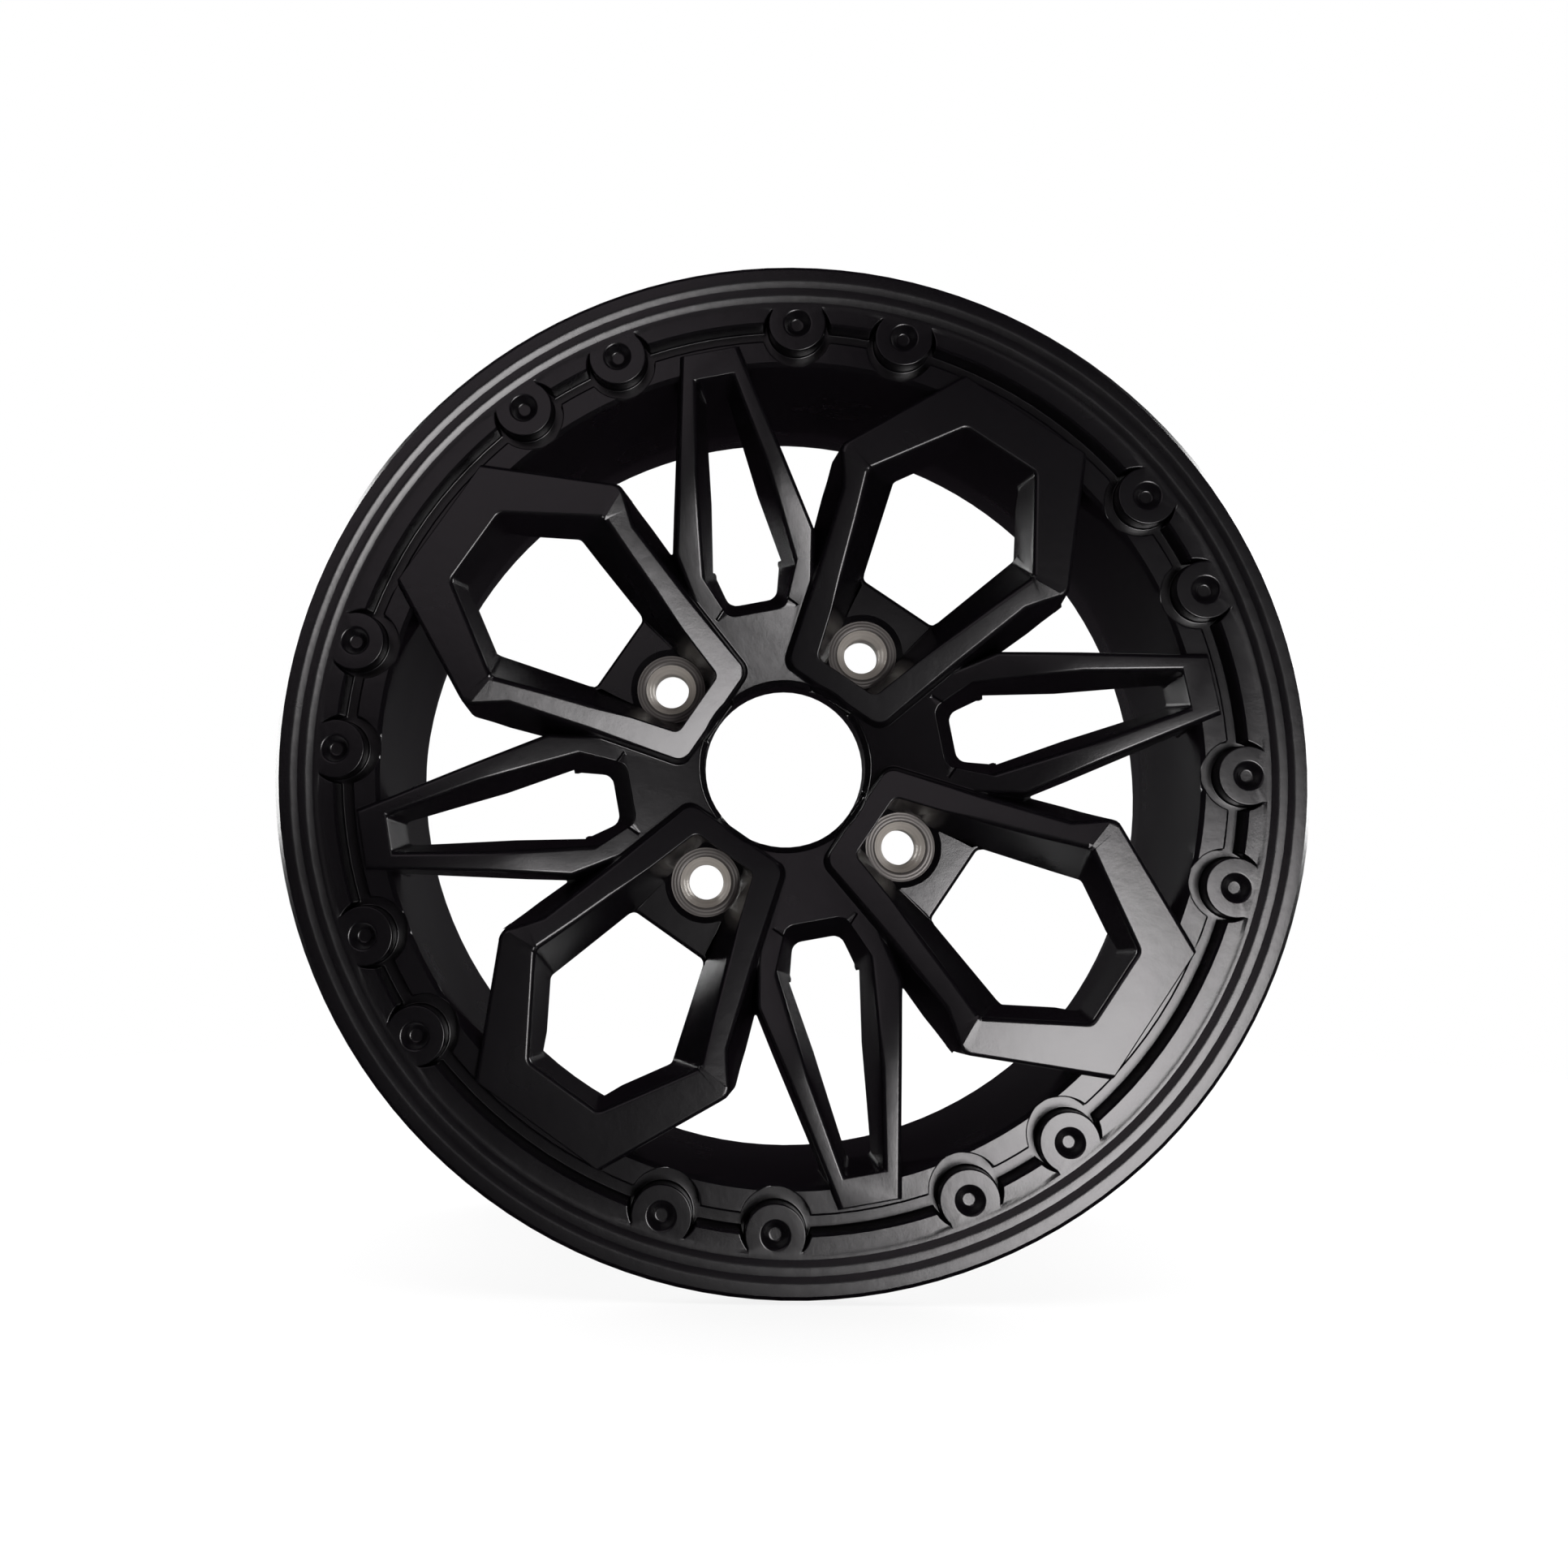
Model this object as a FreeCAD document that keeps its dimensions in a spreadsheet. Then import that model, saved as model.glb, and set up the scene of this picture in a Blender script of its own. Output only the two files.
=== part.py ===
import FreeCAD, Part
import math
import os
import Sketcher

# Cast utility vehicle wheel, one piece: a drop-centre rim, a ring of cast bolt heads, four hexagonal
# frames round the lug pads and four split spokes between them.
# The model stands on its own axis: heights are along the axis, positive towards the street side, and
# zero is the plane of the front lip's widest circle. The body's placement turns the axis level.

SIZES = [
    # rim section
    ("lip_radius", 195.5, "outside radius of both flanges"),
    ("lip_front", 5.0, "height of the lip's front flat"),
    ("front_flange", 12.0, "thickness of the front flange"),
    ("rear_flange", 10.2, "thickness of the rear flange"),
    ("flange_edge", 2.0, "bevel at the flanges' rims"),
    ("bead_width", 177.8, "distance between the flanges"),
    ("bead_radius", 177.4, "radius of the tyre seat at the flange"),
    ("seat_length", 20.0, "length of each tyre seat"),
    ("seat_drop", 1.75, "fall of the seat towards the well"),
    ("seat_corner", 3.5, "bevel between seat and flange"),
    ("well_radius", 160.0, "outside radius of the drop centre"),
    ("well_front", 46.0, "start of the drop centre behind the lip plane"),
    ("well_rear", 86.0, "end of the drop centre behind the lip plane"),
    ("rim_wall", 5.5, "wall of the barrel"),
    ("rear_wall", 3.4, "wall of the barrel at the rear seat"),
    ("rear_flare", 5.5, "widening of the rear mouth"),
    ("rear_lead", 4.0, "distance from the start of that widening to the rear flange"),
    # ring on the front of the rim
    ("mouth_radius", 155.5, "inner edge of the ring's land"),
    ("mouth_depth", 40.0, "depth at which the mouth meets the drop centre"),
    ("mouth_round", 1.6, "bevel of the land's inner edge"),
    ("land_height", 1.0, "height of the land inside the groove"),
    ("groove_inner", 166.0, "inner radius of the groove"),
    ("groove_width", 6.2, "width of the groove"),
    ("groove_depth", 7.5, "depth of the groove below the land"),
    ("groove_draft", 0.8, "lean of the groove's walls"),
    ("groove_round", 0.9, "bevel of the groove's edges"),
    ("band_height", 2.0, "height of the band outside the groove"),
    ("step_radius", 178.3, "radius of the fine step on the band"),
    ("step_width", 1.1, "width of the fine step's slope"),
    ("step_rise", 0.4, "rise of the fine step"),
    ("ridge_radius", 180.8, "radius at which the band rises to the ridge"),
    ("ridge_height", 3.7, "height of the ridge between band and lip"),
    ("lip_inner", 186.3, "radius at which the ridge rises to the lip"),
    ("riser_width", 1.8, "width of the steep part of each rise"),
    ("riser_run", 1.2, "width of the gentle part above it"),
    ("riser_ease", 0.3, "rise of that gentle part"),
    ("lip_shoulder", 193.0, "outer radius of the lip's front flat"),
    ("lip_edge", 194.8, "radius of the lip's edge"),
    ("lip_fall", 2.0, "fall of the lip from its flat to its edge"),
    ("lip_belly", 1.0, "depth of the lip's widest circle"),
    # cast bolt heads in the groove
    ("head_circle", 172.4, "radius of the circle of bolt heads"),
    ("head_radius", 11.2, "radius of a bolt head"),
    ("head_height", 2.25, "height of a bolt head's top"),
    ("dimple_radius", 5.3, "radius of the dimple in a bolt head"),
    ("dimple_depth", 3.2, "depth of the dimple"),
    ("dimple_taper", 40.0, "slope of the dimple's wall from the bolt's axis"),
    ("scallop_radius", 13.3, "radius of the clearance round a bolt head"),
    ("scallop_shift", 3.5, "shift of that clearance towards the hub"),
    ("head_near", 18.96, "angle from a frame's axis to its nearer bolt heads"),
    ("head_far", 32.98, "angle from a frame's axis to its farther bolt heads"),
    # hub
    ("bore_radius", 31.6, "radius of the centre bore"),
    ("bore_chamfer", 2.0, "chamfer of the centre bore"),
    ("hub_radius", 84.0, "radius of the hub plate"),
    ("mount_depth", 44.0, "depth of the face that meets the axle hub"),
    ("pad_depth", 27.0, "depth of the lug pads"),
    # lug holes
    ("lug_circle", 55.0, "radius of the lug circle"),
    ("lug_radius", 6.9, "radius of a lug hole"),
    ("lug_seat", 10.2, "radius of the cone seat at its mouth"),
    ("lug_cone", 5.4, "depth of the cone seat"),
    ("lug_face", 13.5, "radius of the machined face round a lug hole"),
    ("lug_rim", 16.6, "radius of the slope round the machined face"),
    ("lug_sink", 2.0, "depth of the machined face below the pad"),
    ("lug_relief", 0.5, "height by which that slope passes the pad"),
    # split spokes
    ("spoke_cap", 163.5, "distance of the spoke's outer end from the axis"),
    ("spoke_cap_half", 10.6, "half width of the spoke's outer end"),
    ("spoke_root", 88.0, "distance at which the legs meet the frames"),
    ("spoke_root_half", 26.2, "half width across the legs at the frames"),
    ("spoke_web", 28.0, "distance of the web's inner end from the axis, inside the bore"),
    ("spoke_web_half", 12.6, "half width of the web's inner end"),
    ("spoke_draft", 3.4, "widening of the spoke towards the rear"),
    ("spoke_flat", 3.6, "height of the legs outside the crest"),
    ("spoke_crest", 116.5, "distance of the legs' crest from the axis"),
    ("spoke_web_drop", 22.0, "depth of the web at its inner end"),
    # slot in a split spoke, at the top of its block and behind it
    ("slot_outer", 154.0, "distance of the slot's narrow end from the axis"),
    ("slot_outer_half", 8.0, "half width of the slot's narrow end"),
    ("slot_waist", 73.5, "distance of the slot's widest place from the axis"),
    ("slot_waist_half", 22.0, "half width of the slot there"),
    ("slot_inner", 52.6, "distance of the slot's wide end from the axis"),
    ("slot_inner_half", 13.5, "half width of the slot's wide end"),
    ("slot_back_outer", 147.0, "distance of the slot's narrow end at the rear"),
    ("slot_back_outer_half", 2.2, "half width of that end"),
    ("slot_back_waist", 80.0, "distance of the slot's widest place at the rear"),
    ("slot_back_waist_half", 12.6, "half width of the slot there"),
    ("slot_back_inner", 68.5, "distance of the slot's wide end at the rear"),
    ("slot_back_inner_half", 9.5, "half width of that end"),
    ("slot_back", 34.0, "depth of the slot's rear outline"),
    ("slot_relief", 2.5, "widening of the slot behind its rear outline"),
    ("slot_round", 4.5, "radius of the corners at the slot's wide end"),
    # hexagonal frames
    ("frame_outer", 163.0, "distance of the frame's outer edge from the axis"),
    ("frame_outer_half", 27.5, "half width of the frame's outer edge"),
    ("frame_side", 113.0, "distance of the frame's side corners from the axis"),
    ("frame_side_half", 52.0, "half width of the frame at its side corners"),
    ("frame_neck", 100.0, "distance at which the frame's sides turn in to the bars"),
    ("frame_neck_half", 39.6, "half width of the frame there"),
    ("frame_inner", 35.0, "distance of the frame's inner edge from the axis"),
    ("frame_inner_half", 15.0, "half width of the frame's inner edge"),
    ("frame_inner_round", 6.0, "radius of the frame's corners at its inner edge"),
    ("frame_side_round", 5.0, "radius of the frame's side corners"),
    ("frame_end_draft", 3.2, "slope of the frame's inner end towards the bore"),
    ("frame_draft", 2.5, "widening of the frame's outer part towards the rear"),
    ("bar_draft", 10.5, "widening of the frame's inner bars towards the rear"),
    ("frame_flat", 4.6, "height of the frame outside its crest"),
    ("frame_crest", 111.0, "distance of the frame's crest from the axis"),
    ("frame_inner_drop", 13.0, "depth of the frame at its inner edge"),
    # windows in the frames
    ("recess_outer", 146.0, "distance of the window's outer edge from the axis"),
    ("recess_outer_half", 16.4, "half width of the window's outer edge"),
    ("recess_side", 109.5, "distance of the window's side corners from the axis"),
    ("recess_side_half", 40.0, "half width of the window at its side corners"),
    ("recess_inner", 41.4, "distance of the window's inner edge from the axis"),
    ("recess_inner_half", 19.5, "half width of the window's inner edge"),
    ("throat_outer", 143.6, "distance of the throat's outer edge at the pad's level"),
    ("throat_outer_half", 13.0, "half width of the throat's outer edge"),
    ("throat_side", 119.0, "distance of the throat's side corners"),
    ("throat_side_half", 24.4, "half width of the throat at its side corners"),
    ("throat_inner_half", 9.0, "half width of the throat at its inner edge"),
    ("pad_edge", 80.3, "distance of the lug pad's outer edge from the axis"),
    ("pad_edge_half", 17.0, "half width of the window at the pad"),
    ("through_side_half", 28.7, "half width of the window behind the frame"),
    ("through_top", 8.5, "depth at which the window's straight part ends"),
    ("window_round", 3.0, "radius of the window's corners"),
    # rear of the spokes
    ("spoke_back_inner", 33.0, "depth of the spokes' rear at the hub plate"),
    ("spoke_back_outer", 17.0, "depth of the spokes' rear at the rim"),
    # valve hole
    ("valve_radius", 5.75, "radius of the valve hole"),
    ("valve_depth", 37.0, "depth of the valve hole behind the lip plane"),
    # arrangement
    ("spoke_count", 4, "number of frames, and of split spokes"),
    ("clock_angle", 55.3, "turn of the first frame from the level"),
    ("overrun", 6.0, "length by which a cut passes the surface it leaves through"),
]

doc = FreeCAD.newDocument("wheel")
sheet = doc.addObject("Spreadsheet::Sheet", "dim")
for row, (alias, value, meaning) in enumerate(SIZES, start=1):
    sheet.set(f"A{row}", meaning)
    sheet.set(f"B{row}", str(value))
    sheet.setAlias(f"B{row}", alias)
doc.recompute()

body = doc.addObject("PartDesign::Body", "wheel")
body.Label = "wheel"
ORIGIN = {feature.Role: feature for feature in body.Origin.OriginFeatures}
FRAME_AXIS = "0"
SPOKE_AXIS = "180 / dim.spoke_count"


def sketch_on(role, name, height=None, turn=None):
    """Sketch on an origin plane, raised by an expression or turned about the wheel's axis by one."""
    sketch = body.newObject("Sketcher::SketchObject", name)
    sketch.AttachmentSupport = [(ORIGIN[role], "")]
    sketch.MapMode = "FlatFace"
    if height:
        sketch.setExpression("AttachmentOffset.Base.z", height)
    if turn:
        across = role == "XY_Plane"
        sketch.AttachmentOffset = FreeCAD.Placement(
            FreeCAD.Vector(), FreeCAD.Rotation(FreeCAD.Vector(0, not across, across), 1))
        sketch.setExpression("AttachmentOffset.Rotation.Angle", turn)
    doc.recompute()
    return sketch


def pin(sketch, geometry, point, across, along):
    """Bind one point of a sketch to a pair of expressions."""
    for kind, expression in (("DistanceX", across), ("DistanceY", along)):
        value = float(sketch.evalExpression(expression))
        number = sketch.addConstraint(Sketcher.Constraint(kind, geometry, point, value))
        sketch.setExpression(f"Constraints[{number}]", expression)


def outline(sketch, corners):
    """Closed outline through corners: pairs of expressions, with a third for the radius of a round one."""
    places = [FreeCAD.Vector(float(sketch.evalExpression(across)), float(sketch.evalExpression(along)), 0)
              for across, along, *_ in corners]
    count = len(corners)
    ends = []
    arcs = []
    for index, (place, (_, _, *rounding)) in enumerate(zip(places, corners)):
        if not rounding:
            ends.append((place, place))
            arcs.append(None)
            continue
        back = (places[index - 1] - place).normalize()
        ahead = (places[(index + 1) % count] - place).normalize()
        radius = float(sketch.evalExpression(rounding[0]))
        half = back.getAngle(ahead) / 2
        reach = radius / math.tan(half)
        centre = place + (back + ahead).normalize() * (radius / math.sin(half))
        ends.append((place + back * reach, place + ahead * reach))
        arcs.append((centre, radius, back.cross(ahead).z < 0))
    first = sketch.GeometryCount
    for index in range(count):
        sketch.addGeometry(Part.LineSegment(ends[index][1], ends[(index + 1) % count][0]), False)
    for index, (across, along, *rounding) in enumerate(corners):
        before = first + (index - 1) % count
        after = first + index
        if not rounding:
            sketch.addConstraint(Sketcher.Constraint("Coincident", before, 2, after, 1))
            pin(sketch, after, 1, across, along)
            continue
        centre, radius, left = arcs[index]
        start, end = ends[index] if left else reversed(ends[index])
        angles = [math.atan2(point.y - centre.y, point.x - centre.x) for point in (start, end)]
        circle = Part.Circle(centre, FreeCAD.Vector(0, 0, 1), radius)
        arc = sketch.addGeometry(Part.ArcOfCircle(circle, *angles), False)
        sketch.addConstraint(Sketcher.Constraint("Tangent", before, 2, arc, 1 if left else 2))
        sketch.addConstraint(Sketcher.Constraint("Tangent", after, 1, arc, 2 if left else 1))
        bound = sketch.addConstraint(Sketcher.Constraint("Radius", arc, radius))
        sketch.setExpression(f"Constraints[{bound}]", rounding[0])
        corner = sketch.addGeometry(Part.Point(places[index]), True)
        sketch.addConstraint(Sketcher.Constraint("PointOnObject", corner, 1, before))
        sketch.addConstraint(Sketcher.Constraint("PointOnObject", corner, 1, after))
        pin(sketch, corner, 1, across, along)


def disc(sketch, across, along, radius):
    """Circle in a sketch from expressions of its centre and radius."""
    centre = FreeCAD.Vector(float(sketch.evalExpression(across)), float(sketch.evalExpression(along)), 0)
    size = float(sketch.evalExpression(radius))
    number = sketch.addGeometry(Part.Circle(centre, FreeCAD.Vector(0, 0, 1), size), False)
    pin(sketch, number, 3, across, along)
    bound = sketch.addConstraint(Sketcher.Constraint("Radius", number, size))
    sketch.setExpression(f"Constraints[{bound}]", radius)
    return number


def mirrored(half):
    """Whole outline from the corners of its half on the positive side of the first axis."""
    return half + [(across, f"-({along})", *rounding) for across, along, *rounding in reversed(half)]


def feature(kind, name, profile, **settings):
    """PartDesign feature made from a sketch, with strings as expressions and the rest as values."""
    made = body.newObject(f"PartDesign::{kind}", name)
    made.Profile = profile
    for key, value in settings.items():
        if isinstance(value, str) and value.startswith("="):
            made.setExpression(key, value[1:])
        else:
            setattr(made, key, value)
    doc.recompute()
    return made


def turned(kind, name, sketch, axis="V_Axis"):
    """Revolution or groove of a sketch, all the way round."""
    return feature(kind, name, sketch, ReferenceAxis=(sketch, [axis]), Angle=360.0)


def around(name, originals):
    """Copies of features round the wheel, one for each frame."""
    pattern = body.newObject("PartDesign::PolarPattern", name)
    pattern.Originals = originals
    pattern.Axis = (ORIGIN["Z_Axis"], [""])
    pattern.Angle = 360.0
    pattern.setExpression("Occurrences", "dim.spoke_count")
    body.Tip = pattern
    doc.recompute()


def size(name):
    """Value of one size, for finding edges."""
    return float(sheet.get(name))


# Rim: the front ring up to the lip, the tyre side from flange to flange, then the barrel's inside
rim_sketch = sketch_on("XZ_Plane", "rim_section")
FRONT_SEAT = "dim.lip_front - dim.front_flange"
REAR_SEAT = f"{FRONT_SEAT} - dim.bead_width"
RIM_REAR = f"{REAR_SEAT} - dim.rear_flange"
SEAT_END = "dim.bead_radius - dim.seat_drop"
outline(rim_sketch, [
    ("dim.mouth_radius", "dim.land_height - dim.mouth_round"),
    ("dim.mouth_radius + dim.mouth_round", "dim.land_height"),
    ("dim.groove_inner - dim.groove_round", "dim.land_height"),
    ("dim.groove_inner", "dim.land_height - dim.groove_round"),
    ("dim.groove_inner + dim.groove_draft", "dim.land_height - dim.groove_depth"),
    ("dim.groove_inner + dim.groove_width - dim.groove_draft", "dim.land_height - dim.groove_depth"),
    ("dim.groove_inner + dim.groove_width", "dim.band_height - dim.groove_round"),
    ("dim.groove_inner + dim.groove_width + dim.groove_round", "dim.band_height"),
    ("dim.step_radius", "dim.band_height"),
    ("dim.step_radius", "-dim.lip_belly"),
    ("dim.lip_radius", "-dim.lip_belly"),
    ("dim.lip_radius", f"{FRONT_SEAT} + dim.flange_edge"),
    ("dim.lip_radius - dim.flange_edge", FRONT_SEAT),
    ("dim.bead_radius + dim.seat_corner", FRONT_SEAT),
    ("dim.bead_radius", f"{FRONT_SEAT} - dim.seat_corner"),
    (SEAT_END, f"{FRONT_SEAT} - dim.seat_length"),
    ("dim.well_radius", "-dim.well_front"),
    ("dim.well_radius", "-dim.well_rear"),
    (SEAT_END, f"{REAR_SEAT} + dim.seat_length"),
    ("dim.bead_radius", f"{REAR_SEAT} + dim.seat_corner"),
    ("dim.bead_radius + dim.seat_corner", REAR_SEAT),
    ("dim.lip_radius - dim.flange_edge", REAR_SEAT),
    ("dim.lip_radius", f"{REAR_SEAT} - dim.flange_edge"),
    ("dim.lip_radius", f"{RIM_REAR} + dim.flange_edge"),
    ("dim.lip_radius - dim.flange_edge", RIM_REAR),
    ("dim.bead_radius - dim.rear_wall + dim.rear_flare", RIM_REAR),
    ("dim.bead_radius - dim.rear_wall", f"{REAR_SEAT} + dim.rear_lead"),
    ("dim.well_radius - dim.rim_wall", "-dim.well_rear"),
    ("dim.well_radius - dim.rim_wall", "-dim.mouth_depth"),
])
turned("Revolution", "rim", rim_sketch)

# Cast bolt heads: a scallop widens the groove round each head, and a dimple is sunk in its top
HEAD_ANGLES = ["dim.head_near", "-dim.head_near", "dim.head_far", "-dim.head_far"]
GROOVE_FLOOR = "dim.land_height - dim.groove_depth"


def heads_sketch(name, height, circle, radius):
    """Sketch of one circle for each bolt head beside a frame."""
    sketch = sketch_on("XY_Plane", name, height=height)
    for angle in HEAD_ANGLES:
        disc(sketch, f"({circle}) * cos({angle})", f"({circle}) * sin({angle})", radius)
    doc.recompute()
    return sketch


scallop_sketch = heads_sketch("scallop_outline", GROOVE_FLOOR, "dim.head_circle - dim.scallop_shift",
                              "dim.scallop_radius")
scallop = feature("Pocket", "scallop", scallop_sketch, Reversed=True,
                  Length="=dim.groove_depth + dim.overrun")
around("scallops", [scallop])
head_sketch = heads_sketch("head_outline", GROOVE_FLOOR, "dim.head_circle", "dim.head_radius")
head = feature("Pad", "head", head_sketch, Length=f"=dim.head_height - ({GROOVE_FLOOR})")
dimple_sketch = heads_sketch("dimple_outline", "dim.head_height", "dim.head_circle", "dim.dimple_radius")
dimple = feature("Pocket", "dimple", dimple_sketch, Length="=dim.dimple_depth",
                 TaperAngle="=-dim.dimple_taper")
around("bolt_heads", [head, dimple])

# Lip: its steps run on across the outer edge of the bolt heads, so it is added after them
lip_sketch = sketch_on("XZ_Plane", "lip_section")
outline(lip_sketch, [
    ("dim.step_radius", "-dim.lip_belly"),
    ("dim.step_radius", "dim.band_height"),
    ("dim.step_radius + dim.step_width", "dim.band_height + dim.step_rise"),
    ("dim.ridge_radius", "dim.band_height + dim.step_rise"),
    ("dim.ridge_radius + dim.riser_width", "dim.ridge_height - dim.riser_ease"),
    ("dim.ridge_radius + dim.riser_width + dim.riser_run", "dim.ridge_height"),
    ("dim.lip_inner", "dim.ridge_height"),
    ("dim.lip_inner + dim.riser_width", "dim.lip_front - dim.riser_ease"),
    ("dim.lip_inner + dim.riser_width + dim.riser_run", "dim.lip_front"),
    ("dim.lip_shoulder", "dim.lip_front"),
    ("dim.lip_edge", "dim.lip_front - dim.lip_fall"),
    ("dim.lip_radius", "-dim.lip_belly"),
])
turned("Revolution", "lip", lip_sketch)

# Valve hole through the barrel's front wall, behind the first frame
valve_sketch = sketch_on("YZ_Plane", "valve_outline", height="dim.mouth_radius - dim.overrun")
disc(valve_sketch, "0", "-dim.valve_depth", "dim.valve_radius")
doc.recompute()
feature("Pocket", "valve_hole", valve_sketch, Reversed=True,
        Length="=dim.bead_radius - dim.mouth_radius + 2 * dim.overrun")

# Hub plate that carries the lug pads
hub_sketch = sketch_on("XZ_Plane", "hub_section")
outline(hub_sketch, [
    ("dim.bore_radius", "-dim.mount_depth"),
    ("dim.hub_radius", "-dim.mount_depth"),
    ("dim.hub_radius", "-dim.pad_depth"),
    ("dim.bore_radius", "-dim.pad_depth"),
])
turned("Revolution", "hub_plate", hub_sketch)

# Split spoke: a block that widens towards the rear, cut to a roof along its length
BLOCK_TOP = "dim.frame_flat + dim.overrun"


def spoke_outline(name, height, draft):
    """Sketch of a spoke's outline from the hub to the ring, widened by its draft."""
    sketch = sketch_on("XY_Plane", name, height=height, turn=SPOKE_AXIS)
    outline(sketch, mirrored([
        ("dim.spoke_web", f"dim.spoke_web_half + {draft}"),
        ("dim.spoke_root", f"dim.spoke_root_half + {draft}"),
        ("dim.spoke_cap", f"dim.spoke_cap_half + {draft}"),
    ]))
    return sketch


spoke_low = spoke_outline("spoke_foot", "-dim.pad_depth", "dim.spoke_draft")
spoke_high = spoke_outline("spoke_top", BLOCK_TOP, "0")
spoke = feature("AdditiveLoft", "spoke", spoke_low, Sections=[spoke_high], Ruled=True)


def roof(name, turn, inner, inner_drop, crest, flat, outer, half):
    """Cut above a line that rises from the hub to a crest and then runs level to the ring."""
    sketch = sketch_on("XZ_Plane", f"{name}_line", turn=turn)
    top = f"{BLOCK_TOP} + dim.overrun"
    outline(sketch, [
        (inner, top),
        (inner, f"-{inner_drop}"),
        (crest, flat),
        (outer, flat),
        (outer, top),
    ])
    return feature("Pocket", name, sketch, SideType="Symmetric", Length=f"=2 * ({half})")


spoke_roof = roof("spoke_roof", SPOKE_AXIS, "dim.spoke_web", "dim.spoke_web_drop", "dim.spoke_crest",
                  "dim.spoke_flat", "dim.spoke_cap + dim.overrun", "dim.spoke_root_half + dim.spoke_draft")
around("spokes", [spoke, spoke_roof])

# Hexagonal frame: a block that widens towards the rear, cut to its own roof
def frame_outline(name, height, draft, bar_draft, end_draft):
    """Sketch of a frame's outline, widened by its drafts."""
    sketch = sketch_on("XY_Plane", name, height=height)
    outline(sketch, mirrored([
        (f"dim.frame_inner - {end_draft}", f"dim.frame_inner_half + {bar_draft}", "dim.frame_inner_round"),
        ("dim.frame_neck", f"dim.frame_neck_half + {bar_draft}"),
        ("dim.frame_side", f"dim.frame_side_half + {draft}", "dim.frame_side_round"),
        ("dim.frame_outer", f"dim.frame_outer_half + {draft}"),
    ]))
    return sketch


frame_low = frame_outline("frame_foot", "-dim.pad_depth", "dim.frame_draft", "dim.bar_draft",
                          "dim.frame_end_draft")
frame_high = frame_outline("frame_top", BLOCK_TOP, "0", "0", "0")
frame = feature("AdditiveLoft", "frame", frame_low, Sections=[frame_high], Ruled=True)
frame_roof = roof("frame_roof", FRAME_AXIS, "dim.bore_radius", "dim.frame_inner_drop", "dim.frame_crest",
                  "dim.frame_flat", "dim.frame_outer + dim.overrun", "dim.frame_side_half + dim.frame_draft")
around("frames", [frame, frame_roof])

# Rear of the spokes: a cone from the hub plate to the rim
back_sketch = sketch_on("XZ_Plane", "back_line")
outline(back_sketch, [
    ("dim.hub_radius", "-dim.spoke_back_inner"),
    ("dim.well_radius - dim.rim_wall", "-dim.spoke_back_outer"),
    ("dim.well_radius - dim.rim_wall", "-dim.mount_depth - dim.overrun"),
    ("dim.hub_radius", "-dim.mount_depth - dim.overrun"),
])
turned("Groove", "spoke_backs", back_sketch)

# Window: a recess that narrows to the lug pad's level, then a straight way through outside the pad
def window_outline(name, height, outer, outer_half, side, side_half, inner, inner_half):
    """Sketch of a six-sided outline across a frame's axis."""
    sketch = sketch_on("XY_Plane", name, height=height)
    corners = ((inner, inner_half), (side, side_half), (outer, outer_half))
    outline(sketch, mirrored([(*corner, "dim.window_round") for corner in corners]))
    return sketch


recess_low = window_outline(
    "recess_floor", "-dim.pad_depth", "dim.throat_outer", "dim.throat_outer_half",
    "dim.throat_side", "dim.throat_side_half", "dim.recess_inner", "dim.throat_inner_half")
recess_high = window_outline(
    "recess_mouth", BLOCK_TOP, "dim.recess_outer", "dim.recess_outer_half",
    "dim.recess_side", "dim.recess_side_half", "dim.recess_inner", "dim.recess_inner_half")
recess = feature("SubtractiveLoft", "recess", recess_low, Sections=[recess_high], Ruled=True)
window_sketch = window_outline(
    "window_outline", "-dim.mount_depth - dim.overrun", "dim.throat_outer", "dim.throat_outer_half",
    "dim.throat_side", "dim.through_side_half", "dim.pad_edge", "dim.pad_edge_half")
window = feature("Pocket", "window", window_sketch, Reversed=True,
                 Length="=dim.mount_depth + dim.overrun - dim.through_top")
around("windows", [recess, window])

# Slot between a spoke's legs: it narrows to its rear outline, then goes straight through the hub plate
def slot_outline(name, height, part, relief):
    """Sketch of the slot across a spoke's axis, at its mouth or its rear, widened by a relief."""
    sketch = sketch_on("XY_Plane", name, height=height, turn=SPOKE_AXIS)
    outline(sketch, mirrored([
        (f"dim.{part}_inner - {relief}", f"dim.{part}_inner_half + {relief}", "dim.slot_round"),
        (f"dim.{part}_waist", f"dim.{part}_waist_half + {relief}"),
        (f"dim.{part}_outer", f"dim.{part}_outer_half + {relief}"),
    ]))
    return sketch


slot_low = slot_outline("slot_rear", "-dim.slot_back", "slot_back", "0")
slot_high = slot_outline("slot_mouth", BLOCK_TOP, "slot", "0")
slot = feature("SubtractiveLoft", "slot", slot_low, Sections=[slot_high], Ruled=True)
through_sketch = slot_outline("slot_behind", "-dim.slot_back", "slot_back", "dim.slot_relief")
slot_through = feature("Pocket", "slot_through", through_sketch,
                       Length="=dim.mount_depth + dim.overrun - dim.slot_back")
around("slots", [slot, slot_through])

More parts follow.
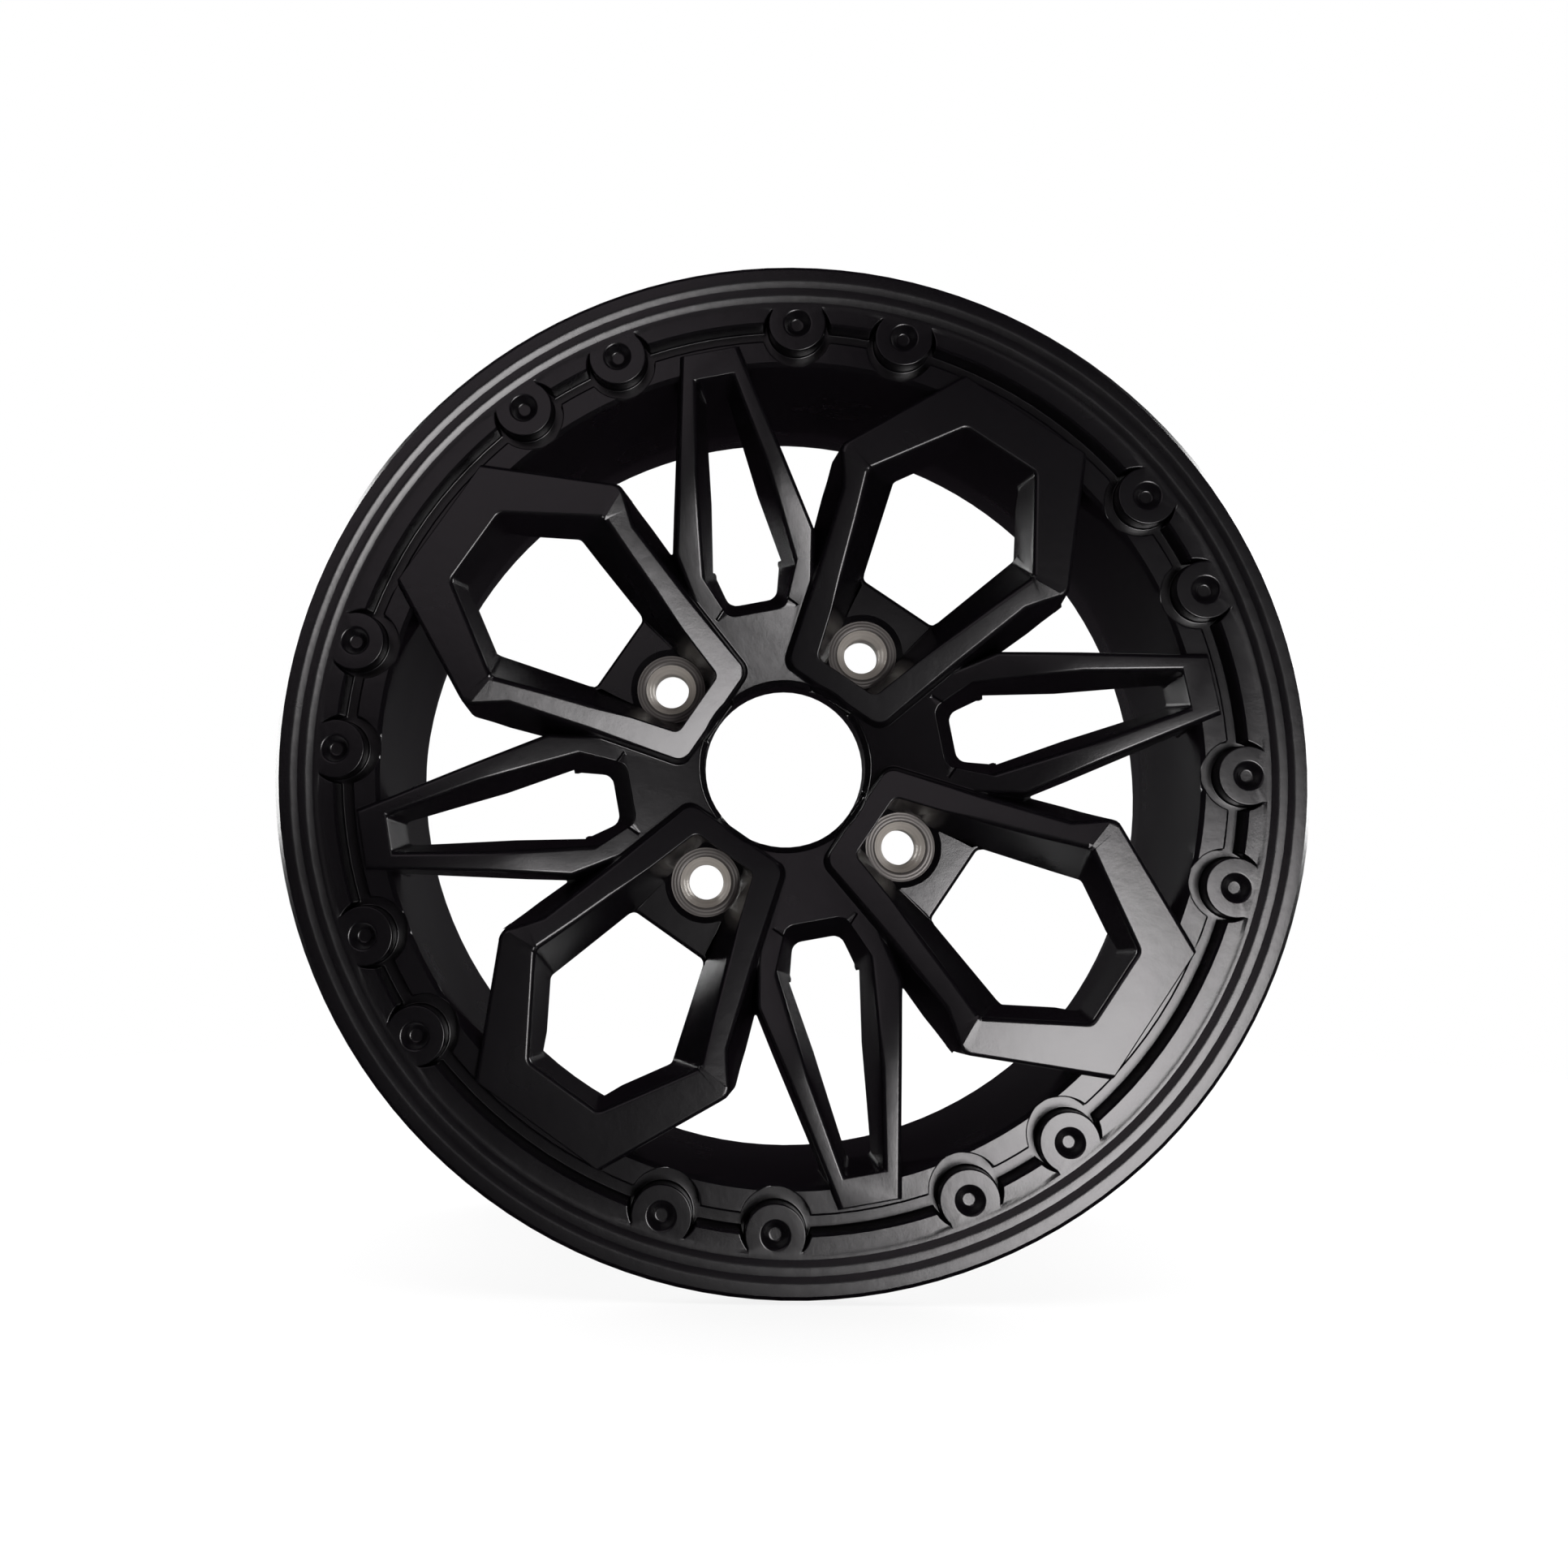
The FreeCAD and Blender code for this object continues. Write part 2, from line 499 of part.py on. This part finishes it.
# Centre bore with its chamfers
bore_sketch = sketch_on("XZ_Plane", "bore_section")
outline(bore_sketch, [
    ("0", "-dim.mount_depth - dim.overrun"),
    ("dim.bore_radius + dim.bore_chamfer", "-dim.mount_depth - dim.overrun"),
    ("dim.bore_radius + dim.bore_chamfer", "-dim.mount_depth"),
    ("dim.bore_radius", "dim.bore_chamfer - dim.mount_depth"),
    ("dim.bore_radius", "-dim.spoke_web_drop - dim.bore_chamfer"),
    ("dim.bore_radius + dim.bore_chamfer", "-dim.spoke_web_drop"),
    ("dim.bore_radius + dim.bore_chamfer", BLOCK_TOP),
    ("0", BLOCK_TOP),
])
turned("Groove", "centre_bore", bore_sketch)

# Lug hole: a machined face, a cone seat and a clearance hole, turned about the lug's own axis
lug_sketch = sketch_on("XZ_Plane", "lug_section")
LUG_FACE = "-dim.pad_depth - dim.lug_sink"
LUG_TOP = "dim.lug_relief - dim.pad_depth"
outline(lug_sketch, [
    ("dim.lug_circle", "-dim.mount_depth - dim.overrun"),
    ("dim.lug_circle + dim.lug_radius", "-dim.mount_depth - dim.overrun"),
    ("dim.lug_circle + dim.lug_radius", f"{LUG_FACE} - dim.lug_cone"),
    ("dim.lug_circle + dim.lug_seat", LUG_FACE),
    ("dim.lug_circle + dim.lug_face", LUG_FACE),
    ("dim.lug_circle + dim.lug_rim", LUG_TOP),
    ("dim.lug_circle + dim.lug_face", LUG_TOP),
    ("dim.lug_circle + dim.lug_face", "0"),
    ("dim.lug_circle", "0"),
])
lug_axis = lug_sketch.addGeometry(
    Part.LineSegment(FreeCAD.Vector(size("lug_circle"), -size("mount_depth"), 0),
                     FreeCAD.Vector(size("lug_circle"), 0, 0)), True)
pin(lug_sketch, lug_axis, 1, "dim.lug_circle", "-dim.mount_depth")
pin(lug_sketch, lug_axis, 2, "dim.lug_circle", "0")
doc.recompute()
lug = turned("Groove", "lug_hole", lug_sketch, axis="Axis0")
around("lug_holes", [lug])

# The wheel stands on its tread with its face to the front, centred on its own middle
upright = FreeCAD.Rotation(FreeCAD.Vector(1, 0, 0), 90)
clocked = FreeCAD.Rotation(FreeCAD.Vector(0, 0, 1), size("clock_angle"))
rim_width = size("front_flange") + size("bead_width") + size("rear_flange")
middle = size("lip_front") - rim_width / 2
body.Placement = FreeCAD.Placement(FreeCAD.Vector(0, middle, 0), upright * clocked)
doc.recompute()

failed = [item.Name for item in doc.Objects if {"Invalid", "Error"} & set(item.State)]
if failed:
    raise RuntimeError(f"features failed: {failed}")
if body.Shape.isNull() or not body.Shape.isValid() or len(body.Shape.Solids) != 1:
    raise RuntimeError("the wheel is not one valid solid")
os.makedirs("parts", exist_ok=True)
body.Shape.exportStep(f"parts/{body.Label}.step")
print(f"{body.Label}: {body.Shape.Volume / 1000:.1f} cm3, box {body.Shape.optimalBoundingBox()}")
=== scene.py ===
# %% [markdown]
# # A cast utility vehicle wheel, dressed for its picture
# The wheel comes from a CAD model as one solid, already in its place and in metres. Its axis lies along Y, its
# face looks towards -Y and it stands on its two lips. Nothing here moves it or changes its mesh: this lesson
# adds the rounded edges, the paint, the bare metal, the room, the light and the camera.

# %% Load the wheel
import math
import bpy
from mathutils import Matrix, Vector


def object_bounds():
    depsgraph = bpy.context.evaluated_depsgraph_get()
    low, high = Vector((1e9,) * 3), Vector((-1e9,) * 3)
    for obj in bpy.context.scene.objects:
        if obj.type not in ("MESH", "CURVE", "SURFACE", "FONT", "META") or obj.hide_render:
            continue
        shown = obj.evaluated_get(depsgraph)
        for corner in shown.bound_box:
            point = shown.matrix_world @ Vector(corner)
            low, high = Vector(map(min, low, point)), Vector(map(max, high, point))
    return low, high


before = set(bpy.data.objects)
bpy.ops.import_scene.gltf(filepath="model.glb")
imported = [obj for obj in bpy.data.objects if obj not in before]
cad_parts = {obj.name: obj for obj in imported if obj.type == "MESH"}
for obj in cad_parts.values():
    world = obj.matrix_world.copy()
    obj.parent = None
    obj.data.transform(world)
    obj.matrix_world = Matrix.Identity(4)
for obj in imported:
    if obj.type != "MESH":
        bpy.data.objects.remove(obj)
cad_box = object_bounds()
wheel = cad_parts["wheel"]
print("the wheel has", len(wheel.data.polygons), "faces and reaches from", *cad_box)

# %% [markdown]
# ## Sums on sockets
# A procedural finish is mostly arithmetic on positions. Writing it node by node hides the idea, so one small
# class wraps a socket and lets Python's own operators add the Math nodes. Every other kind of node comes from
# its method `node`, which sets the node's options first and then fills its sockets.


# %% A socket that can be reckoned with
class Wire:
    """One output socket of a node tree; sums on it become Math nodes."""

    def __init__(self, tree, socket=None):
        self.tree = tree
        self.socket = socket

    def node(self, kind, sockets, output=0, **settings):
        """Add a node with its settings, then the values or links of its sockets; give one output."""
        made = self.tree.nodes.new(kind)
        for name, value in settings.items():
            setattr(made, name, value)
        for name, value in sockets.items():
            if isinstance(value, Wire):
                self.tree.links.new(value.socket, made.inputs[name])
            else:
                made.inputs[name].default_value = value
        return Wire(self.tree, made.outputs[output] if made.outputs else None)

    def math(self, operation, *values):
        """Math node of one, two or three values."""
        return self.node("ShaderNodeMath", dict(enumerate(values)), operation=operation)

    def __add__(self, other):
        return self.math("ADD", self, other)

    def __radd__(self, other):
        return self.math("ADD", other, self)

    def __rsub__(self, other):
        return self.math("SUBTRACT", other, self)

    def __mul__(self, other):
        return self.math("MULTIPLY", self, other)

    def __rmul__(self, other):
        return self.math("MULTIPLY", other, self)

    def __lt__(self, other):
        return self.math("LESS_THAN", self, other)

    def __gt__(self, other):
        return self.math("GREATER_THAN", self, other)


def finish(name):
    """New material with empty nodes, and a wire on its tree."""
    material = bpy.data.materials.new(name)
    material.use_nodes = True
    material.node_tree.nodes.clear()
    return material, Wire(material.node_tree)


print("sums such as 1 - mask now add their own nodes")

# %% [markdown]
# ## Rounded edges
# No edge of a casting is sharp: sand and paint leave a radius that catches a line of light. It could be
# painted on with a bump, but then the outline stays sharp. A Bevel modifier makes it in the shape itself. The
# spokes and frames are rounded generously; the hub and the ring with its bolt heads are cut cleaner. So a
# weight on each edge, reckoned from its distance to the wheel's axis, sets its share of the radius. The CAD
# mesh comes in with its faces apart, so they are welded first.


# %% Nodes for the wheel's shape
def shape_nodes(name):
    """New geometry node group with a mesh in and a mesh out, put on the wheel; its wire and its mesh."""
    group = bpy.data.node_groups.new(name, "GeometryNodeTree")
    for way in ("INPUT", "OUTPUT"):
        group.interface.new_socket("Mesh", in_out=way, socket_type="NodeSocketGeometry")
    wheel.modifiers.new(name, "NODES").node_group = group
    bench = Wire(group)
    return bench, bench.node("NodeGroupInput", {})


def distance_from_axis(bench, place, axis=(0, 0, 0)):
    """Distance of a place from a line along Y, the wheel's own axis or that of a lug."""
    flat = bench.node("ShaderNodeVectorMath", {0: place, 1: (1, 0, 1)}, operation="MULTIPLY")
    return bench.node("ShaderNodeVectorMath", {0: flat, 1: axis}, output="Value", operation="DISTANCE")


print("shape nodes go on the wheel as modifiers")

# %% Bevel the casting
WELD_GAP = 0.0002
EDGE_RADIUS = 0.0016
FINE_SHARE = 0.35
BOLD_FROM = 0.078
BOLD_TO = 0.152
EDGE_STEPS = 4
SHARP_ANGLE = math.radians(50)

weld = wheel.modifiers.new("join faces", "WELD")
weld.merge_threshold = WELD_GAP
bench, mesh = shape_nodes("edge radii")
bend = bench.node("GeometryNodeInputMeshEdgeAngle", {}, output="Unsigned Angle")
from_axis = distance_from_axis(bench, bench.node("GeometryNodeInputPosition", {}))
bold = (from_axis > BOLD_FROM) * (from_axis < BOLD_TO)
share = (bend > SHARP_ANGLE) * (FINE_SHARE + (1 - FINE_SHARE) * bold)
weighted = bench.node(
    "GeometryNodeStoreNamedAttribute", {"Geometry": mesh, "Name": "bevel_weight_edge", "Value": share},
    domain="EDGE", data_type="FLOAT")
bench.node("NodeGroupOutput", {"Mesh": weighted})

edge = wheel.modifiers.new("cast edges", "BEVEL")
edge.width = EDGE_RADIUS
edge.segments = EDGE_STEPS
edge.limit_method = "WEIGHT"
edge.use_clamp_overlap = False
edge.loop_slide = False
fine_radius = round(EDGE_RADIUS * FINE_SHARE * 1000, 2)
print("edges are rounded by", EDGE_RADIUS * 1000, "mm on the spokes and", fine_radius, "mm elsewhere")

# %% [markdown]
# Edges that turn by less than the sharp angle get no radius. Smooth shading across them would bend the light
# on the flats at either side, so every edge that still turns by more than a crease is shaded crisp. Along the
# rest, wide faces decide the shading, which keeps the flats flat right up to their rounded edges.

# %% Shade the casting
CREASE_ANGLE = math.radians(26)

bench, mesh = shape_nodes("crisp creases")
bend = bench.node("GeometryNodeInputMeshEdgeAngle", {}, output="Unsigned Angle")
rounded = bench.node("GeometryNodeSetShadeSmooth", {"Geometry": mesh}, domain="FACE")
shaded = bench.node(
    "GeometryNodeSetShadeSmooth", {"Geometry": rounded, "Shade Smooth": bend < CREASE_ANGLE}, domain="EDGE")
bench.node("NodeGroupOutput", {"Mesh": shaded})
shading = wheel.modifiers.new("flat shading", "WEIGHTED_NORMAL")
shading.keep_sharp = True
print("edges that turn by more than", round(math.degrees(CREASE_ANGLE)), "degrees stay crisp")

# %% [markdown]
# ## Satin black paint and bare metal
# The casting is sprayed satin black. Close to, such paint has a fine orange peel and the cast metal under it
# is not quite flat; from a step away that only softens the reflections. The bump is made of two noises, one
# finer than a millimetre and one of a few millimetres. The paint's gloss varies a little too. After painting,
# the seats of the lug nuts and the face that meets the axle are cut true, so bare aluminium shows there with
# the cutter's fine rings. The cone that the nut presses on is brighter than the face around it.

# %% Where the metal is bare
LUG_CIRCLE = 0.055
LUG_TURN = math.radians(55.3)
LUG_FACE_RADIUS = 0.0136
LUG_CONE_RADIUS = 0.0101
LUG_FACE_Y = -0.066
HUB_FACE_Y = -0.051
HUB_FACE_RADIUS = 0.0845
SLACK = 0.0004

paint, bench = finish("satin black paint")
place = bench.node("ShaderNodeTexCoord", {}, output="Object")
from_axis = distance_from_axis(bench, place)
from_lug = from_axis
for quarter in range(4):
    angle = LUG_TURN + quarter * math.pi / 2
    lug_axis = (LUG_CIRCLE * math.cos(angle), 0, LUG_CIRCLE * math.sin(angle))
    from_lug = bench.math("MINIMUM", from_lug, distance_from_axis(bench, place, lug_axis))
along = bench.node("ShaderNodeSeparateXYZ", {"Vector": place}, output="Y")
seat = (from_lug < LUG_FACE_RADIUS) * (along > LUG_FACE_Y - SLACK)
cone = (from_lug < LUG_CONE_RADIUS) * (along > LUG_FACE_Y + SLACK) * (along < HUB_FACE_Y - SLACK)
hub_face = (along > HUB_FACE_Y - SLACK) * (along < HUB_FACE_Y + SLACK) * (from_axis < HUB_FACE_RADIUS)
bare = bench.math("MAXIMUM", seat, hub_face)
print("bare metal within", LUG_FACE_RADIUS * 1000, "mm of each lug's axis")

# %% Relief and gloss
PEEL_SCALE = 1400.0
SWELL_SCALE = 160.0
CLOUD_SCALE = 22.0
RING_PITCH = 0.0012
PEEL_SHARE = 0.25
RING_SHARE = 0.5
BUMP_STRENGTH = 0.10
BUMP_DEPTH = 0.0006
SATIN = 0.235
UNEVEN_GLOSS = 0.06
DULLER_METAL = 0.1


def noise(scale, detail):
    """Noise over the wheel, between nought and one."""
    sockets = {"Vector": place, "Scale": scale, "Detail": detail}
    return bench.node("ShaderNodeTexNoise", sockets, output="Fac")


peel = noise(PEEL_SCALE, detail=2.0)
swell = noise(SWELL_SCALE, detail=3.0)
cloud = noise(CLOUD_SCALE, detail=4.0)
rings = bench.math("SINE", from_lug * (2 * math.pi / RING_PITCH))
height = peel * PEEL_SHARE + swell + bare * rings * RING_SHARE
relief = bench.node("ShaderNodeBump", {"Strength": BUMP_STRENGTH, "Distance": BUMP_DEPTH, "Height": height})
roughness = SATIN + UNEVEN_GLOSS * cloud + DULLER_METAL * bare
print("the cutter's rings are", RING_PITCH * 1000, "mm apart")

# %% Paint the wheel
DEEP_BLACK = (0.0016, 0.0013, 0.0019, 1)
SOFT_BLACK = (0.0026, 0.0021, 0.0029, 1)
DULL_METAL = (0.05, 0.045, 0.042, 1)
BRIGHT_METAL = (0.62, 0.58, 0.53, 1)
CONE_POLISH = 0.65
HUB_POLISH = 0.4
RING_POLISH = 0.04
BARE_METALLIC = 0.4


def between(factor, first, second):
    """Colour that goes from the first to the second as the factor goes from nought to one."""
    sockets = {"Factor": factor, "A": first, "B": second}
    return bench.node("ShaderNodeMix", sockets, output="Result", data_type="RGBA")


tint = between(cloud, DEEP_BLACK, SOFT_BLACK)
polish = CONE_POLISH * cone + HUB_POLISH * hub_face + RING_POLISH * (rings + 1)
metal = between(polish, DULL_METAL, BRIGHT_METAL)
coat = bench.node("ShaderNodeBsdfPrincipled", {
    "Base Color": between(bare, tint, metal), "Metallic": bare * BARE_METALLIC, "Roughness": roughness,
    "Specular IOR Level": 0.5, "Normal": relief})
bench.node("ShaderNodeOutputMaterial", {"Surface": coat})
wheel.data.materials.clear()
wheel.data.materials.append(paint)
print("paint made with", len(paint.node_tree.nodes), "nodes")

# %% [markdown]
# ## The room
# The photograph shows the wheel on plain white. A round floor that fades into a white world gives that from
# every side. The floor's own shade would be grey, so rays from the camera see mostly plain white. Round the
# wheel a share of the true shade is left in for the shadow, and it fades out a step away. In the photograph no
# white floor is mirrored in the paint, and the main light comes from lower than this floor, so the floor is
# left out of reflections and throws no shadow itself.

# %% Floor
FLOOR_GAP = 0.0004
FLOOR = cad_box[0][2] - FLOOR_GAP
FLOOR_RADIUS = 3.0
FLOOR_CORNERS = 96
FLOOR_GREY = (0.86, 0.86, 0.86, 1)
WHITE = (1, 1, 1, 1)
SHADE_SHARE = 0.14
SHADE_FROM = 0.3
SHADE_TO = 0.9
LIGHT_PATH = "ShaderNodeLightPath"

turns = [2 * math.pi * corner / FLOOR_CORNERS for corner in range(FLOOR_CORNERS)]
rim = [(FLOOR_RADIUS * math.cos(turn), FLOOR_RADIUS * math.sin(turn), FLOOR) for turn in turns]
floor_mesh = bpy.data.meshes.new("floor")
floor_mesh.from_pydata(rim, [], [range(FLOOR_CORNERS)])
floor = bpy.data.objects.new("floor", floor_mesh)
bpy.context.collection.objects.link(floor)
floor.visible_glossy = False
floor.visible_shadow = False

white, bench = finish("white floor")
seen = bench.node(LIGHT_PATH, {}, output="Is Camera Ray")
passed = bench.node(LIGHT_PATH, {}, output="Is Transmission Ray")
matt = bench.node("ShaderNodeBsdfDiffuse", {"Color": FLOOR_GREY})
glow = bench.node("ShaderNodeEmission", {"Color": WHITE, "Strength": 1.0})
place = bench.node("ShaderNodeTexCoord", {}, output="Object")
away = bench.node("ShaderNodeVectorMath", {0: place}, output="Value", operation="LENGTH")
fade = bench.node("ShaderNodeMapRange", {"Value": away, "From Min": SHADE_FROM, "From Max": SHADE_TO})
whiteness = 1 - SHADE_SHARE * (1 - fade)
plain = bench.node("ShaderNodeMixShader", {0: whiteness * (seen + passed), 1: matt, 2: glow})
bench.node("ShaderNodeOutputMaterial", {"Surface": plain})
floor_mesh.materials.append(white)
print("floor at", round(FLOOR, 4), "m")

# %% World
SHADOW_TINT = (1.0, 0.72, 1.0, 1)
SHADOW_STRENGTH = 0.008

world = bpy.data.worlds.new("studio")
bpy.context.scene.world = world
world.use_nodes = True
world.node_tree.nodes.clear()
bench = Wire(world.node_tree)
seen = bench.node(LIGHT_PATH, {}, output="Is Camera Ray")
passed = bench.node(LIGHT_PATH, {}, output="Is Transmission Ray")
dim = bench.node("ShaderNodeBackground", {"Color": SHADOW_TINT, "Strength": SHADOW_STRENGTH})
bright = bench.node("ShaderNodeBackground", {"Color": WHITE, "Strength": 1.0})
both = bench.node("ShaderNodeMixShader", {0: seen + passed, 1: dim, 2: bright})
bench.node("ShaderNodeOutputWorld", {"Surface": both})
print("world is white to the camera and a dim purple to the wheel, as its shadows are in the photograph")

# %% [markdown]
# ## Light
# The paint is so dark that its shape is drawn by what it mirrors. In the photograph a broad light low on the
# right in front brightens the flats at the lower right and the bars that lean towards it. A dim one high on
# the left, slightly purple, does a little for the others. Two broad ones beside and behind the wheel draw the
# barrel and the rear when it is looked at from there. A large one overhead lights the floor and stays out of
# the reflections.

# %% Lamps
KEY_COLOUR = (1.0, 0.975, 0.985)
FILL_COLOUR = (1.0, 0.89, 0.96)


def soft_light(name, place, target, width, depth, radiance, colour=(1, 1, 1)):
    """Rectangular lamp that looks from one point to another, with its strength as seen in a mirror."""
    lamp = bpy.data.lights.new(name, "AREA")
    lamp.shape = "RECTANGLE"
    lamp.size = width
    lamp.size_y = depth
    lamp.energy = radiance * 4 * width * depth
    lamp.color = colour
    made = bpy.data.objects.new(name, lamp)
    made.location = place
    made.rotation_euler = (Vector(target) - Vector(place)).to_track_quat("-Z", "Y").to_euler()
    made.visible_camera = False
    bpy.context.collection.objects.link(made)
    return made


soft_light("low right light", place=(0.305, -1.0, -0.225), target=(0.1, -0.09, -0.1),
           width=0.29, depth=0.38, radiance=12.5, colour=KEY_COLOUR)
soft_light("high left light", place=(-0.29, -1.0, 0.46), target=(0, -0.09, 0),
           width=0.6, depth=0.6, radiance=0.42, colour=FILL_COLOUR)
overhead = soft_light("overhead light", place=(0.1, 0.1, 1.6), target=(0, 0.1, 0),
                      width=2.2, depth=2.2, radiance=3.0)
overhead.visible_glossy = False
for side in (-1, 1):
    soft_light("side light", place=(1.3 * side, 0.65, 0.4), target=(0, 0, 0),
               width=1.3, depth=1.1, radiance=7.0)
print("lamps:", len(bpy.data.lights))

# %% [markdown]
# ## Camera
# The camera stands a little below the wheel's axis and looks up at it. Its place and direction were fitted to
# the photograph, so that the two pictures can be laid side by side. The picture was cropped off its middle, so
# the lens is shifted by a small share of the frame.

# %% Camera
CAMERA_PLACE = (-0.01748, -0.69389, -0.04449)
CAMERA_RIGHT = Vector((0.9994, 0.0343, 0.0023))
CAMERA_AHEAD = Vector((-0.0343, 0.9904, 0.1340))

lens = bpy.data.cameras.new("camera")
lens.sensor_width = 36.0
lens.lens = 36.23
lens.shift_x = 0.0624
lens.shift_y = -0.0746
camera = bpy.data.objects.new("camera", lens)
ahead = CAMERA_AHEAD.normalized()
up = CAMERA_RIGHT.cross(ahead).normalized()
facing = Matrix((ahead.cross(up), up, -ahead)).transposed()
camera.matrix_world = Matrix.Translation(CAMERA_PLACE) @ facing.to_4x4()
bpy.context.collection.objects.link(camera)
bpy.context.scene.camera = camera
bpy.context.scene.view_settings.view_transform = "Standard"
print("camera at", [round(c, 3) for c in camera.location])
